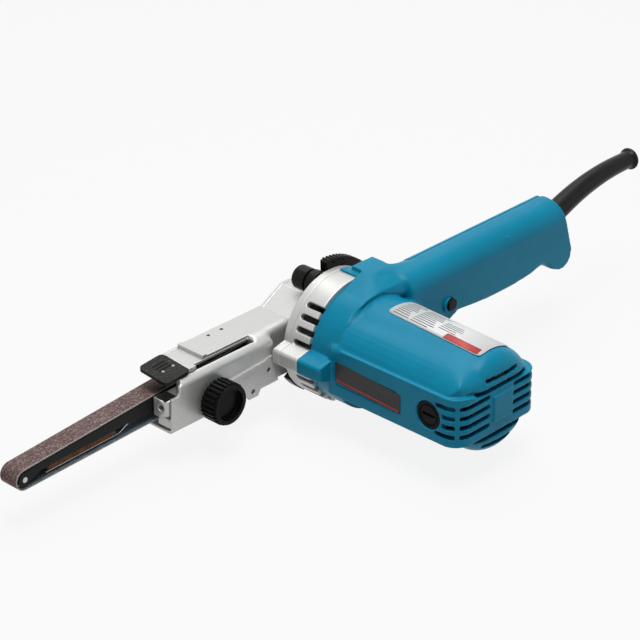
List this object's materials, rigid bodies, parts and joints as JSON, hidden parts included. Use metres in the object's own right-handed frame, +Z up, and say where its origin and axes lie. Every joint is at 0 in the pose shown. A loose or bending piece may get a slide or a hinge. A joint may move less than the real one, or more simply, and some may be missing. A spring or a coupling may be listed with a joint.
{
  "type": "power file",
  "caption": "Corded power file: a narrow abrasive belt on a swivelling silver arm, driven by a motor in a blue plastic body with an in-line grip",
  "frame": {"origin": "centre of the flat pad on the motor's rear end, on the motor axis", "axes": "+X towards the grip, +Y along the motor axis towards the belt arm, +Z up"},
  "size_m": [0.4276, 0.1508, 0.0805],
  "materials": {
    "blue_plastic": "satin moulded",
    "black_plastic": "satin moulded",
    "guard_rubber": "smooth",
    "silver_casting": "satin silver paint on a casting",
    "steel": "bright",
    "dark_steel": "dark oxide",
    "laminations": "stacked sheet",
    "copper": "enamelled copper",
    "brass": "drawn",
    "carbon": "pressed carbon",
    "platen": "worn platen pad",
    "abrasive": "coated abrasive cloth",
    "plate_print": "plain plate",
    "label_print": "plain film"
  },
  "bodies": {
    "motor_body": {"motor_housing": "blue_plastic", "grip_cover": "blue_plastic", "grip_screws": "steel", "brush_caps": "black_plastic", "brush_holders": "brass", "carbon_brushes": "carbon", "brush_springs": "steel", "stator_core": "laminations", "field_coils": "copper", "rear_bearing": "steel", "front_bearing": "steel", "air_baffle": "black_plastic", "fan_housing": "silver_casting", "bearing_cover": "silver_casting", "housing_screws": "steel", "swivel_clip": "steel", "trigger_spring": "steel", "switch_body": "black_plastic", "cord_guard": "guard_rubber", "cord_clamp": "black_plastic", "cord_clamp_screws": "steel", "name_plate": "plate_print", "rating_label": "label_print"},
    "armature": {"armature_shaft": "steel", "armature_core": "laminations", "armature_windings": "copper", "commutator": "copper", "cooling_fan": "black_plastic", "drive_pulley": "steel", "pulley_nut": "steel"},
    "arm": {"arm_housing": "silver_casting", "arm_side_plate": "silver_casting", "side_plate_screws": "steel", "top_plate": "silver_casting", "top_plate_screws": "steel", "belt_side_cover": "silver_casting", "side_cover_screws": "steel", "tension_spring": "steel", "abrasive_belt": "abrasive"},
    "belt_carriage": {"tension_slide": "silver_casting", "tension_tab": "black_plastic", "belt_arm": "dark_steel", "nose_pin": "steel", "platen_pad": "platen", "platen_spring": "steel"},
    "nose_roller": {"nose_roller": "steel"},
    "tracking_knob": {"tracking_knob": "black_plastic", "tracking_stud": "steel"},
    "lock_ring": {"lock_ring": "black_plastic", "lock_knob": "black_plastic"},
    "trigger": {"trigger": "black_plastic"},
    "lock_button": {"lock_button": "black_plastic"}
  },
  "joints": [
    {"name": "motor_spin", "type": "hinge", "parent": "motor_body", "child": "armature", "pos_m": [0, 0, 0], "axis": [0, 1, 0], "continuous": true},
    {"name": "arm_swivel", "type": "hinge", "parent": "motor_body", "child": "arm", "pos_m": [0, 0.128, 0], "axis": [0, 1, 0], "range_deg": [-45, 30]},
    {"name": "arm_tension", "type": "slide", "parent": "arm", "child": "belt_carriage", "axis": [0.9986, 0, 0.0535], "range_m": [0, 0.006], "stiffness_N_per_m": 2000, "springref_m": -0.008, "deforming": ["tension_spring"]},
    {"name": "nose_roller_spin", "type": "hinge", "parent": "belt_carriage", "child": "nose_roller", "pos_m": [-0.20171, 0.1401, -0.0108], "axis": [0, 1, 0], "continuous": true},
    {"name": "tracking_knob_turn", "type": "hinge", "parent": "arm", "child": "tracking_knob", "pos_m": [-0.0845, 0.115, -0.008], "axis": [0, 1, 0], "range_deg": [-180, 180]},
    {"name": "lock_ring_turn", "type": "hinge", "parent": "motor_body", "child": "lock_ring", "pos_m": [0, 0.1238, 0], "axis": [0, 1, 0], "range_deg": [0, 25]},
    {"name": "trigger_pull", "type": "slide", "parent": "motor_body", "child": "trigger", "axis": [0, 0, 1], "range_m": [0, 0.005], "stiffness_N_per_m": 800, "springref_m": -0.003, "deforming": ["trigger_spring"]},
    {"name": "lock_button_press", "type": "slide", "parent": "motor_body", "child": "lock_button", "axis": [0, 1, 0], "range_m": [0, 0.003], "stiffness_N_per_m": 500, "springref_m": -0.002}
  ],
  "couplings": [
    {"joint": "nose_roller_spin", "follows": "motor_spin", "ratio": 1.9565}
  ]
}
